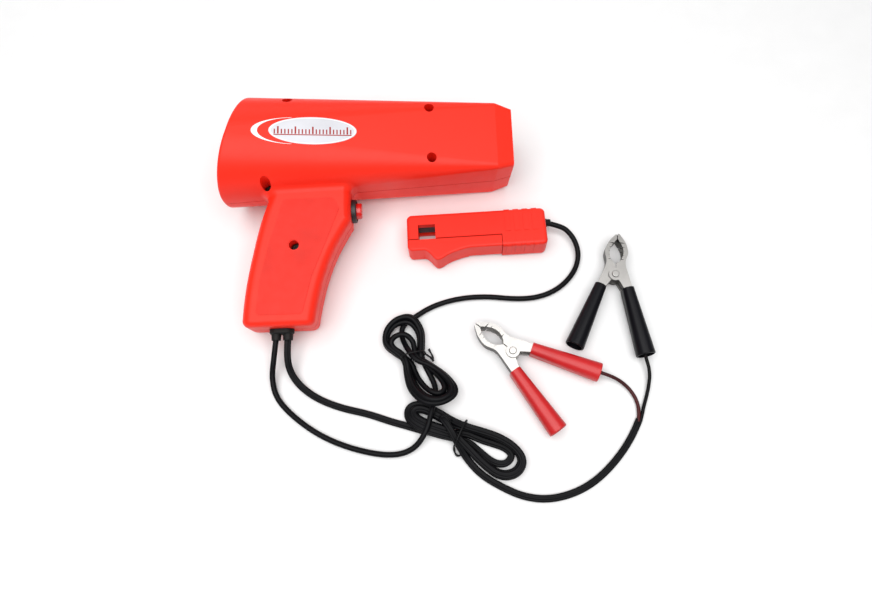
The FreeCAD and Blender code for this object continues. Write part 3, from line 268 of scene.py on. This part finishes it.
def plastic(name, color, roughness, grain=2500.0, depth=0.02, strength=0.3, tone=0.06, coat=0.0,
            specular=0.5, crease_shade=0.0):
    """Moulded plastic: fine surface grain, slow tone drift, and uneven gloss."""
    mat, tree, principled = shader(name, color, roughness, coat=coat, specular=specular)
    low = [c * (1 - tone) for c in color]
    high = [min(1.0, c * (1 + tone)) for c in color]
    vary_color(tree, principled, noise(tree, TONE_CELLS), low, high)
    vary_roughness(tree, principled, noise(tree, GLOSS_CELLS), roughness * 0.85, roughness * 1.15)
    add_bump(tree, principled, noise(tree, grain, 2.0), depth, strength)
    # painted shade: base colour darkened in corners and creases, where shade falls
    if crease_shade:
        paint_crease_shade(tree, principled, crease_shade)
    return mat


def metal(name, color, roughness, stretch=(1.0, 1.0, 1.0), grain=900.0, strength=0.15, side_wall_shade=0.0):
    """Metal with rolling or drawing marks along its longer noise cells."""
    mat, tree, principled = shader(name, color, roughness, metallic=1.0)
    low = [c * 0.9 for c in color]
    vary_color(tree, principled, noise(tree, METAL_TONE_CELLS), low, color)
    marks = noise(tree, grain, 4.0, stretch)
    vary_roughness(tree, principled, marks, roughness * 0.7, roughness * 1.4)
    add_bump(tree, principled, marks, 0.01, strength)
    # painted shade: base colour darkened on surfaces that face sideways
    if side_wall_shade:
        paint_side_wall_shade(tree, principled, side_wall_shade)
    return mat


def winding_wire(name, color):
    """Enamelled wire, laid in fine turns."""
    mat, tree, principled = shader(name, color, 0.3, metallic=0.8)
    place = tree.nodes.new("ShaderNodeTexCoord")
    wave = tree.nodes.new("ShaderNodeTexWave")
    wave.inputs["Scale"].default_value = 700.0
    wave.inputs["Distortion"].default_value = 0.6
    tree.links.new(place.outputs["Object"], wave.inputs["Vector"])
    vary_color(tree, principled, wave.outputs["Fac"], [c * 0.45 for c in color], color)
    add_bump(tree, principled, wave.outputs["Fac"], 0.1, 0.7)
    return mat


def clear(name, color, roughness, ior):
    """Clear glass or plastic with faint surface waviness."""
    mat, tree, principled = shader(name, color, roughness)
    principled.inputs["Transmission Weight"].default_value = 1.0
    principled.inputs["IOR"].default_value = ior
    add_bump(tree, principled, noise(tree, 140.0, 1.0), 0.05, 0.1)
    return mat


RED = (0.94, 0.026, 0.010)
# the crease shade values below are painted shade in corners and creases, not dirt
MATERIALS = {
    "red_shell": plastic("red_abs", RED, 0.42, grain=3200.0, depth=0.012, strength=0.25, tone=0.02,
                         specular=0.26, crease_shade=0.55),
    "red_matte": plastic("red_spark_eroded", (0.76, 0.026, 0.014), 0.6, grain=1300.0, depth=0.12,
                         strength=0.8, tone=0.08, specular=0.3, crease_shade=0.5),
    "pickup_red": plastic("pickup_abs", (0.88, 0.026, 0.012), 0.42, grain=2600.0, depth=0.02,
                          strength=0.35, tone=0.04, specular=0.3, crease_shade=0.3),
    "button_red": plastic("button_red", (0.62, 0.010, 0.008), 0.28, tone=0.05, coat=0.4),
    "black_plastic": plastic("black_moulded", (0.016, 0.016, 0.017), 0.45, tone=0.2),
    "white_plastic": plastic("natural_nylon", (0.80, 0.79, 0.74), 0.5, tone=0.04),
    "board_green": plastic("laminate", (0.02, 0.16, 0.06), 0.35, grain=900.0, tone=0.15, coat=0.3),
    "ferrite": plastic("sintered_ferrite", (0.035, 0.035, 0.038), 0.5, grain=1800.0, depth=0.05,
                       strength=0.6, tone=0.3),
    "can": plastic("sleeved_can", (0.02, 0.03, 0.12), 0.3, tone=0.1, coat=0.3),
    "rubber": plastic("black_rubber", (0.007, 0.007, 0.007), 0.6, grain=1400.0, depth=0.04, strength=0.5,
                      tone=0.2, specular=0.25),
    "cord_black": plastic("cord_pvc", (0.003, 0.003, 0.004), 0.42, grain=420.0, depth=0.05,
                          strength=0.35, tone=0.3, specular=0.12),
    "cord_stripe": plastic("cord_stripe", (0.055, 0.007, 0.008), 0.36, grain=420.0, depth=0.05,
                           strength=0.35, tone=0.3, specular=0.2),
    "tie_black": plastic("tie_pvc", (0.005, 0.005, 0.006), 0.4, grain=900.0, tone=0.2, specular=0.2),
    "sleeve_red": plastic("vinyl_red", (0.56, 0.014, 0.016), 0.36, grain=500.0, depth=0.05, strength=0.3,
                          tone=0.07),
    "sleeve_black": plastic("vinyl_black", (0.004, 0.004, 0.006), 0.36, grain=500.0, depth=0.05,
                            strength=0.3, tone=0.2, specular=0.16),
    "label_silver": plastic("label_silver", (0.64, 0.64, 0.68), 0.42, grain=1800.0, depth=0.03,
                            strength=0.5, tone=0.08),
    "label_red": plastic("label_red", (0.36, 0.030, 0.025), 0.5, tone=0.05, specular=0.2),
    "label_white": plastic("label_white", (0.86, 0.86, 0.88), 0.45, tone=0.01),
    # nickel: its own colour, with painted shade on its side walls
    "nickel": metal("nickel_plate", (0.54, 0.525, 0.505), 0.34, stretch=(1.0, 4.0, 1.0), strength=0.04,
                    side_wall_shade=0.10),
    "dark_steel": metal("blackened_steel", (0.035, 0.030, 0.028), 0.35, grain=1400.0),
    "steel": metal("zinc_steel", (0.62, 0.62, 0.63), 0.32),
    "mirror_metal": metal("reflector", (0.92, 0.92, 0.93), 0.06, strength=0.03),
    "winding": winding_wire("enamelled_wire", (0.72, 0.28, 0.08)),
    "clear_lens": clear("clear_lens", (0.96, 0.98, 1.0), 0.03, 1.49),
    "lamp_glass": clear("quartz", (0.97, 0.98, 1.0), 0.02, 1.46),
}


def look_of(node):
    """The material of one CAD node: its record slot's, but the pickup has its own moulding."""
    if node in ("pickup_housing", "pickup_cover", "pickup_slider"):
        return MATERIALS["pickup_red"]
    return MATERIALS.get(SLOTS[node], MATERIALS["black_plastic"])


for node_name, node in nodes.items():
    for material_slot in node.material_slots:
        material_slot.material = look_of(node_name)


# ---------------------------------------------------------------- places

def kit(point):
    return (Vector(point) + KIT_SHIFT) * MM


GUN = (Matrix.Translation(kit(GUN_AT))
       @ Matrix.Rotation(math.radians(GUN_YAW), 4, "Z")
       @ Matrix.Rotation(math.radians(GUN_PITCH), 4, "Y")
       @ Matrix.Rotation(math.radians(GUN_ROLL), 4, "X"))


def gun(x, y, z):
    """A point of the gun's own frame, in millimetres, in the row frame."""
    return GUN @ (Vector((x, y, z)) * MM)


# ---------------------------------------------------------------- camera, light and floor

def look_at(obj, target):
    """Turns a camera or a light towards a point."""
    obj.rotation_mode = "QUATERNION"
    obj.rotation_quaternion = (target - obj.location).to_track_quat("-Z", "Y")


def add_camera():
    data = bpy.data.cameras.new("camera")
    data.lens = CAMERA_LENS
    data.sensor_width = CAMERA_SENSOR
    data.shift_x, data.shift_y = CAMERA_SHIFT
    camera = bpy.data.objects.new("camera", data)
    camera.location = CAMERA_AT
    bpy.context.scene.collection.objects.link(camera)
    look_at(camera, CAMERA_TO)
    bpy.context.scene.camera = camera


def add_softbox(name, place, target, size, power):
    data = bpy.data.lights.new(name, "AREA")
    data.shape = "RECTANGLE"
    data.size, data.size_y = size
    data.energy = power
    light = bpy.data.objects.new(name, data)
    light.location = place
    bpy.context.scene.collection.objects.link(light)
    look_at(light, Vector(target))


def add_floor():
    mesh = bpy.data.meshes.new("floor")
    corners = ((-1, -1), (1, -1), (1, 1), (-1, 1))
    mesh.from_pydata([(FLOOR_HALF * x, FLOOR_HALF * y, FLOOR_Z) for x, y in corners], [], [(0, 1, 2, 3)])
    floor = bpy.data.objects.new("floor", mesh)
    bpy.context.scene.collection.objects.link(floor)
    look = plastic("floor", (0.86, 0.86, 0.86), 0.7, grain=300.0, strength=0.05, tone=0.01)
    floor.data.materials.append(look)


def add_light():
    world = bpy.data.worlds.new("studio")
    bpy.context.scene.world = world
    world.use_nodes = True
    background = world.node_tree.nodes["Background"]
    background.inputs["Color"].default_value = (1.0, 1.0, 1.0, 1.0)
    background.inputs["Strength"].default_value = WORLD_STRENGTH
    for softbox in SOFTBOXES:
        add_softbox(*softbox)


add_camera()
add_light()
add_floor()
bpy.context.scene.view_settings.view_transform = "Standard"


# ---------------------------------------------------------------- springs


def flexing_copy(node):
    """A spring's own mesh as a new piece, with the CAD node hidden."""
    mesh = nodes[node].data.copy()
    mesh.transform(nodes[node].matrix_world)
    piece = bpy.data.objects.new(node + "_flexing", mesh)
    bpy.context.scene.collection.objects.link(piece)
    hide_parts(node)
    return piece


def add_coil_spring(node):
    """A compression spring's mesh, copied and attached to the gun, with mesh data of its own."""
    piece = flexing_copy(node)
    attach(piece, "gun")
    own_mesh(piece)
    return piece


def add_strip_spring(colour):
    """A clip's bent strip spring, copied with its placement baked into the mesh."""
    piece = flexing_copy(f"{colour}_clip_spring")
    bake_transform(piece)
    return piece


add_coil_spring("button_spring")
pickup_spring = add_coil_spring("pickup_spring")
strip_springs = {colour: add_strip_spring(colour) for colour in ("black", "red")}


# ---------------------------------------------------------------- cords

def between(a, b, share):
    """The value a share of the way from a to b."""
    return a + (b - a) * share


def run_gap(x, y, a, b):
    """Distance, seen from above, from a point to the straight run between a and b."""
    run = Vector((b[0] - a[0], b[1] - a[1]))
    way = Vector((x - a[0], y - a[1]))
    share = max(0.0, min(1.0, way.dot(run) / run.length_squared))
    return (way - run * share).length


def lift_over(x, y, strand, height, spread):
    """How much a turn rises where it passes over a strand that lies beneath it."""
    gap = min(run_gap(x, y, a, b) for a, b in zip(strand, strand[1:]))
    return height * math.exp(-((gap / spread) ** 2))


def ramp(value, start, end):
    """0 before start, 1 after end, and smooth between them."""
    share = max(0.0, min(1.0, (value - start) / (end - start)))
    return share * share * (3 - 2 * share)


def pickup_ground(x, y):
    """Middle height of the first turn: over the tie, the other hank, and the strands in and out."""
    height = 2.0 + 1.2 * math.exp(-((y + 157) / 9.0) ** 2)
    height += 6.4 * ramp(-y, 168.0, 191.0)
    height += lift_over(x, y, UNDER_PICKUP_IN, 3.2, 9.0)
    return height + lift_over(x, y, UNDER_PICKUP_OUT, 4.4, 8.0)


def power_ground(x, y):
    """Middle height of the first turn: over the tie and the strand going in."""
    height = 1.4 + 1.0 * math.exp(-((x - 156) / 9.0) ** 2)
    return height + lift_over(x, y, UNDER_POWER_IN, 2.6, 6.0)


def hank(ends, passes, ground):
    """Points of a hank: half turns about its two ends by turns, each drawn in by its own share."""
    points = []
    for number, (share, height) in enumerate(passes):
        outer, inner = ends[number % 2]
        for a, b in zip(outer, inner):
            x, y = between(a[0], b[0], share), between(a[1], b[1], share)
            points.append((x, y, ground(x, y) + height))
    return points


def add_nurbs(data, points):
    """A NURBS line through a curve's data, ending on its first and last points."""
    spline = data.splines.new("NURBS")
    spline.points.add(len(points) - 1)
    for target, point in zip(spline.points, points):
        target.co = (*point, 1.0)
    spline.order_u = 3
    spline.use_endpoint_u = True


def spline_object(name, points, radius):
    """One NURBS line through the row frame, with a round section if radius isn't zero."""
    data = bpy.data.curves.new(name, "CURVE")
    data.dimensions = "3D"
    data.resolution_u = 8
    data.bevel_depth = radius
    data.bevel_resolution = 5
    data.use_fill_caps = True
    add_nurbs(data, points)
    obj = bpy.data.objects.new(name, data)
    bpy.context.scene.collection.objects.link(obj)
    return obj


def centreline(points):
    """Points along the route's own NURBS line."""
    line = spline_object("line", points, 0.0)
    mesh = bpy.data.meshes.new_from_object(line.evaluated_get(bpy.context.evaluated_depsgraph_get()))
    found = [v.co.copy() for v in mesh.vertices]
    bpy.data.objects.remove(line)
    bpy.data.meshes.remove(mesh)
    return found


def twin_section():
    """Figure-eight outline of the flat twin cord, with a mark for each point on the striped strand."""
    outline = []
    for side in (1, -1):
        for step in range(11):
            angle = math.radians(-140 + 28 * step)
            x = side * (STRAND_R + STRAND_R * math.cos(angle))
            outline.append((x, side * STRAND_R * math.sin(angle), side < 0 and 5 <= step <= 7))
    return outline


def round_section(radius):
    """Circular outline of a single lead, with no marked points."""
    steps = 12
    return [(radius * math.cos(a), radius * math.sin(a), False)
            for a in (math.tau * k / steps for k in range(steps))]


def sweep(mesh_data, line, section, shift):
    """Adds a closed tube of one section along a line; shift moves it sideways with distance run."""
    verts, faces, marks = mesh_data
    first = len(verts)
    count = len(section)
    travelled = 0.0
    for i, point in enumerate(line):
        ahead = line[min(i + 1, len(line) - 1)] - line[max(i - 1, 0)]
        along = ahead.normalized()
        side = Vector((along.y, -along.x, 0.0)).normalized()
        up = side.cross(along)
        if i:
            travelled += (point - line[i - 1]).length
        for x, y, _ in section:
            verts.append(point + side * (x * MM + shift(travelled)) + up * (y * MM))
    for i in range(len(line) - 1):
        for k in range(count):
            a, b = first + i * count + k, first + i * count + (k + 1) % count
            faces.append((a, b, b + count, a + count))
            marks.append(section[k][2] and section[(k + 1) % count][2])
    faces.append(tuple(first + k for k in reversed(range(count))))
    faces.append(tuple(first + (len(line) - 1) * count + k for k in range(count)))
    marks.extend([False, False])


def mesh_object(name, verts, faces, materials, marks=()):
    """A smooth mesh in the row frame; a marked face takes the second material."""
    mesh = bpy.data.meshes.new(name)
    mesh.from_pydata(verts, [], faces)
    for material in materials:
        mesh.materials.append(material)
    for polygon, mark in zip(mesh.polygons, marks):
        polygon.material_index = int(mark)
    mesh.shade_smooth()
    mesh.validate()
    obj = bpy.data.objects.new(name, mesh)
    bpy.context.scene.collection.objects.link(obj)
    return obj


def lead_entry(colour):
    """Where a lead goes into its clip's sleeve and ends in the crimp."""
    sleeve, crimp = (Vector(map(sum, zip(*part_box(f"{colour}_clip_{name}")))) / 2
                     for name in ("sleeve_fixed", "crimp"))
    inward = (crimp - sleeve).normalized()
    return [crimp + inward * CRIMP_RUN * MM, crimp]


def add_pickup_cord():
    """The round cord: out of the gun, round its hank, and into the pickup's collar."""
    points = [gun(PICKUP_EXIT_X, CORD_START_Y, 0), *map(kit, PICKUP_NEAR)]
    points += map(kit, hank((PICKUP_UPPER, PICKUP_LOWER), PICKUP_PASSES, pickup_ground))
    points += map(kit, PICKUP_FAR)
    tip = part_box("pickup_relief")
    middle = (tip[0] + tip[1]) / 2
    points.append(Vector((tip[1].x - RELIEF_DEPTH * MM, middle.y, middle.z)))
    cord = spline_object("pickup_cord", points, PICKUP_D / 2 * MM)
    cord.data.materials.append(MATERIALS["cord_black"])
    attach(cord, "gun")
    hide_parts("pickup_cord_near", "pickup_cord_far", "pickup_hank")
    return cord


def add_power_cord():
    """The flat twin cord as far as its split, and its black strand on into the black clip."""
    twin = [gun(POWER_EXIT_X, CORD_START_Y, 0), *map(kit, POWER_NEAR)]
    twin += map(kit, hank((POWER_RIGHT, POWER_LEFT), POWER_PASSES, power_ground))
    twin += map(kit, POWER_FAR)
    line = centreline([*twin, *map(kit, BLACK_LEAD), *lead_entry("black")])
    split = min(range(len(line)), key=lambda i: (line[i] - twin[-1]).length)
    shape = ([], [], [])
    sweep(shape, line[:split + 1], twin_section(), lambda d: 0.0)
    sweep(shape, line[split - 2:], round_section(LEAD_D / 2),
          lambda d: STRAND_R * MM * (1 - ramp(d / MM, 0.0, SPLIT_LENGTH)))
    cord = mesh_object("power_cord", shape[0], shape[1],
                       [MATERIALS["cord_black"], MATERIALS["cord_stripe"]], shape[2])
    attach(cord, "gun")
    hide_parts("power_cord_near", "power_cord_far", "power_hank", "black_lead")
    return cord, line


def add_red_branch():
    """The striped lead, from the split into the red clip."""
    cord = spline_object("red_branch", [*map(kit, RED_LEAD), *lead_entry("red")], LEAD_D / 2 * MM)
    cord.data.materials.append(MATERIALS["cord_stripe"])
    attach(cord, "gun")
    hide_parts("red_lead")
    return cord


def add_twist_tie(name, at, turn, half_width, height, tail, replaced):
    """A wire tie round the waist of a hank, with its twisted ends standing off one side."""
    place = Matrix.Translation(Vector((*at, 0.0))) @ Matrix.Rotation(math.radians(turn), 4, "Z")
    middle, half_height = height / 2 + TIE_CLEARANCE, height / 2
    ring = []
    for step in range(TIE_STEPS):
        angle = math.radians(TIE_STEP_ANGLE * step)
        flatten = 1.0 + TIE_BULGE * math.sin(2 * angle) ** 2
        ring.append(place @ Vector((half_width * flatten * math.cos(angle), TIE_LEAN * math.sin(angle),
                                    middle + half_height * flatten * math.sin(angle))))
    tie = spline_object(name, [kit(p) for p in (*ring, *tail)], TIE_WIRE_R * MM)
    ends = [kit(ring[0])]
    for number, (x, y, z) in enumerate(tail):
        side = TIE_END_GAP if number % 2 else -TIE_END_GAP
        ends.append(kit((x + side, y + side, max(TIE_LOWEST, z - side))))
    add_nurbs(tie.data, ends)
    tie.data.materials.append(MATERIALS["tie_black"])
    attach(tie, "gun")
    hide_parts(replaced)
    return tie


PICKUP_TIE_TAIL = [(133.5, -157, 6.5), (136, -159.5, 5), (138, -161.6, 3), (137, -158, 4),
                   (135, -152, 4.5)]
POWER_TIE_TAIL = [(149.5, -221, 3.5), (148, -225, 2), (150.5, -229, 1.6), (153.5, -229.5, 1.4),
                  (152.5, -224, 2.4)]

pickup_cord = add_pickup_cord()
power_cord, power_line = add_power_cord()
red_branch = add_red_branch()
pickup_tie = add_twist_tie("pickup_twist_tie", (123.2, -157), 10.0, 9.0, 12.4, PICKUP_TIE_TAIL,
                           "pickup_hank_tie")
power_tie = add_twist_tie("power_twist_tie", (154.5, -214.5), 62.0, 9.6, 11.0, POWER_TIE_TAIL,
                          "power_hank_tie")


# ---------------------------------------------------------------- label print

LABEL_X = 60.5
LABEL_HALVES = (30.5, 10.35)
PRINT_LIFT = 0.06
ABOVE_SHELL = 60

# shares of the label's half sizes at the rim's inner and outer edges
RIM_INNER = (0.95, 0.91)
RIM_OUTER = (0.985, 0.97)

TICKS_EACH_SIDE = 11
TICK_STEP = 2.4
LONG_EVERY = 5
LONG_TICK = (0.56, 5.6)
SHORT_TICK = (0.44, 3.6)
TICK_FOOT = -2.6
BASE_LINE = (-3.6, -2.9)
BASE_STEP = 0.5
BASE_STEPS = 54

# outer and inner edges of the crescent: centre, how much shorter, share of the height, end angles
CRESCENT = ((-12.0, 0.0, 0.985, 97, 263), (-13.4, 5.6, 0.955, 92, 268))


def surface_of(node):
    """A mesh's surface for dropping print onto, in the row frame."""
    mesh = nodes[node].data
    return BVHTree.FromPolygons([v.co for v in mesh.vertices],
                                [tuple(p.vertices) for p in mesh.polygons])


def printed(name, node, strips, material):
    """A thin print that follows a node's surface: quads between pairs of plan curves."""
    surface = surface_of(node)
    down = (gun(0, 0, -1) - gun(0, 0, 0)).normalized()
    verts, faces = [], []
    for left, right in strips:
        start = len(verts)
        for a, b in zip(left, right):
            for x, y in (a, b):
                hit = surface.ray_cast(gun(LABEL_X + x, y, ABOVE_SHELL), down)[0]
                verts.append(hit - down * PRINT_LIFT * MM)
        for i in range(len(left) - 1):
            k = start + 2 * i
            faces.append((k, k + 1, k + 3, k + 2))
    piece = mesh_object(name, verts, faces, [MATERIALS[material]])
    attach(piece, "gun")


def ellipse(centre_x, half_x, half_y, start=0.0, end=math.tau, count=96):
    """Points around an ellipse between two angles."""
    turns = (start + (end - start) * k / count for k in range(count + 1))
    return [(centre_x + half_x * math.cos(a), half_y * math.sin(a)) for a in turns]


def scale_ticks():
    """Strips of a plain scale: a long tick every fifth, and a line under them."""
    strips = []
    for number in range(-TICKS_EACH_SIDE, TICKS_EACH_SIDE + 1):
        x = TICK_STEP * number
        stroke, tall = LONG_TICK if number % LONG_EVERY == 0 else SHORT_TICK
        edges = (x - stroke, x + stroke)
        strips.append([[(edge, TICK_FOOT), (edge, tall + TICK_FOOT)] for edge in edges])
    along = [BASE_STEP * k for k in range(-BASE_STEPS, BASE_STEPS + 1)]
    strips.append([[(x, y) for x in along] for y in BASE_LINE])
    return strips


def add_label_print():
    """Generic print: a pale rim and a row of scale ticks on the oval, and a crescent beside it."""
    half_x, half_y = LABEL_HALVES
    rim = [ellipse(0, half_x * x, half_y * y) for x, y in (RIM_INNER, RIM_OUTER)]
    printed("label_rim", "label_plate", [rim], "label_white")
    printed("label_scale", "label_plate", scale_ticks(), "label_red")
    crescent = [ellipse(centre, half_x - shorter, half_y * share, math.radians(a), math.radians(b))
                for centre, shorter, share, a, b in CRESCENT]
    printed("label_crescent", "right_shell", [crescent], "label_white")


add_label_print()
